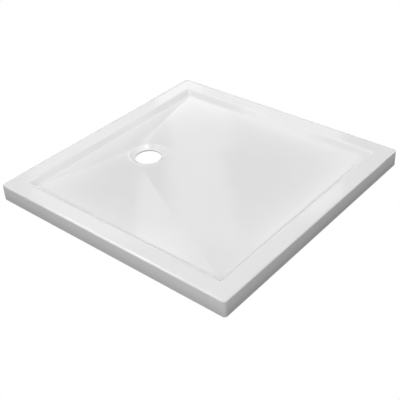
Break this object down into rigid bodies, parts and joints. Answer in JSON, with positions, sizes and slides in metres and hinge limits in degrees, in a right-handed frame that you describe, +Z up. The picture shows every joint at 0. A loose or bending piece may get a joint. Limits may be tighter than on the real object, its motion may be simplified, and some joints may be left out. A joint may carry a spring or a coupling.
{
  "type": "shower tray",
  "caption": "Square low-profile acrylic shower tray: wide flat rim, floor falling in four slopes to a round waste recess by the rear edge, battened below, with screw-in levelling feet.",
  "frame": {"origin": "centre of the tray in plan, on the surface that it stands on", "axes": "+Z up; +Y towards the rear side, where the waste is; +X across the tray to the right"},
  "size_m": [0.9, 0.9, 0.055],
  "materials": {
    "acrylic": "polished white sanitary acrylic",
    "glass_fibre": "sprayed glass-fibre laminate, rough",
    "plywood": "plywood under a thin coat of resin",
    "softwood": "planed softwood",
    "zinc": "bright zinc-plated steel",
    "pad_plastic": "moulded black nylon"
  },
  "bodies": {
    "tray": {"acrylic_shell": "acrylic", "glass_fibre_backing": "glass_fibre", "floor_board_front": "plywood", "floor_board_left": "plywood", "floor_board_right": "plywood", "rim_batten_front": "softwood", "rim_batten_rear": "softwood", "rim_batten_left": "softwood", "rim_batten_right": "softwood", "foot_inserts": "zinc", "foot_lock_nuts": "zinc"},
    "pad_front_left": {"foot_pad_front_left": "pad_plastic"},
    "stem_front_left": {"foot_stem_front_left": "zinc"},
    "pad_front_mid": {"foot_pad_front_mid": "pad_plastic"},
    "stem_front_mid": {"foot_stem_front_mid": "zinc"},
    "pad_front_right": {"foot_pad_front_right": "pad_plastic"},
    "stem_front_right": {"foot_stem_front_right": "zinc"},
    "pad_mid_left": {"foot_pad_mid_left": "pad_plastic"},
    "stem_mid_left": {"foot_stem_mid_left": "zinc"},
    "pad_mid_right": {"foot_pad_mid_right": "pad_plastic"},
    "stem_mid_right": {"foot_stem_mid_right": "zinc"},
    "pad_rear_left": {"foot_pad_rear_left": "pad_plastic"},
    "stem_rear_left": {"foot_stem_rear_left": "zinc"},
    "pad_rear_mid": {"foot_pad_rear_mid": "pad_plastic"},
    "stem_rear_mid": {"foot_stem_rear_mid": "zinc"},
    "pad_rear_right": {"foot_pad_rear_right": "pad_plastic"},
    "stem_rear_right": {"foot_stem_rear_right": "zinc"}
  },
  "joints": [
    {"name": "foot_front_left_height", "type": "slide", "parent": "tray", "child": "pad_front_left", "axis": [0, 0, -1], "range_m": [0, 0.018]},
    {"name": "foot_front_left_turn", "type": "hinge", "parent": "pad_front_left", "child": "stem_front_left", "pos_m": [-0.421, -0.421, 0.011], "axis": [0, 0, -1], "range_deg": [0, 4320.5]},
    {"name": "foot_front_mid_height", "type": "slide", "parent": "tray", "child": "pad_front_mid", "axis": [0, 0, -1], "range_m": [0, 0.018]},
    {"name": "foot_front_mid_turn", "type": "hinge", "parent": "pad_front_mid", "child": "stem_front_mid", "pos_m": [0, -0.421, 0.011], "axis": [0, 0, -1], "range_deg": [0, 4320.5]},
    {"name": "foot_front_right_height", "type": "slide", "parent": "tray", "child": "pad_front_right", "axis": [0, 0, -1], "range_m": [0, 0.018]},
    {"name": "foot_front_right_turn", "type": "hinge", "parent": "pad_front_right", "child": "stem_front_right", "pos_m": [0.421, -0.421, 0.011], "axis": [0, 0, -1], "range_deg": [0, 4320.5]},
    {"name": "foot_mid_left_height", "type": "slide", "parent": "tray", "child": "pad_mid_left", "axis": [0, 0, -1], "range_m": [0, 0.018]},
    {"name": "foot_mid_left_turn", "type": "hinge", "parent": "pad_mid_left", "child": "stem_mid_left", "pos_m": [-0.421, 0, 0.011], "axis": [0, 0, -1], "range_deg": [0, 4320.5]},
    {"name": "foot_mid_right_height", "type": "slide", "parent": "tray", "child": "pad_mid_right", "axis": [0, 0, -1], "range_m": [0, 0.018]},
    {"name": "foot_mid_right_turn", "type": "hinge", "parent": "pad_mid_right", "child": "stem_mid_right", "pos_m": [0.421, 0, 0.011], "axis": [0, 0, -1], "range_deg": [0, 4320.5]},
    {"name": "foot_rear_left_height", "type": "slide", "parent": "tray", "child": "pad_rear_left", "axis": [0, 0, -1], "range_m": [0, 0.018]},
    {"name": "foot_rear_left_turn", "type": "hinge", "parent": "pad_rear_left", "child": "stem_rear_left", "pos_m": [-0.421, 0.421, 0.011], "axis": [0, 0, -1], "range_deg": [0, 4320.5]},
    {"name": "foot_rear_mid_height", "type": "slide", "parent": "tray", "child": "pad_rear_mid", "axis": [0, 0, -1], "range_m": [0, 0.018]},
    {"name": "foot_rear_mid_turn", "type": "hinge", "parent": "pad_rear_mid", "child": "stem_rear_mid", "pos_m": [0, 0.421, 0.011], "axis": [0, 0, -1], "range_deg": [0, 4320.5]},
    {"name": "foot_rear_right_height", "type": "slide", "parent": "tray", "child": "pad_rear_right", "axis": [0, 0, -1], "range_m": [0, 0.018]},
    {"name": "foot_rear_right_turn", "type": "hinge", "parent": "pad_rear_right", "child": "stem_rear_right", "pos_m": [0.421, 0.421, 0.011], "axis": [0, 0, -1], "range_deg": [0, 4320.5]}
  ],
  "couplings": [
    {"joint": "foot_front_left_turn", "follows": "foot_front_left_height", "rad_per_m": 4188.8},
    {"joint": "foot_front_mid_turn", "follows": "foot_front_mid_height", "rad_per_m": 4188.8},
    {"joint": "foot_front_right_turn", "follows": "foot_front_right_height", "rad_per_m": 4188.8},
    {"joint": "foot_mid_left_turn", "follows": "foot_mid_left_height", "rad_per_m": 4188.8},
    {"joint": "foot_mid_right_turn", "follows": "foot_mid_right_height", "rad_per_m": 4188.8},
    {"joint": "foot_rear_left_turn", "follows": "foot_rear_left_height", "rad_per_m": 4188.8},
    {"joint": "foot_rear_mid_turn", "follows": "foot_rear_mid_height", "rad_per_m": 4188.8},
    {"joint": "foot_rear_right_turn", "follows": "foot_rear_right_height", "rad_per_m": 4188.8}
  ]
}
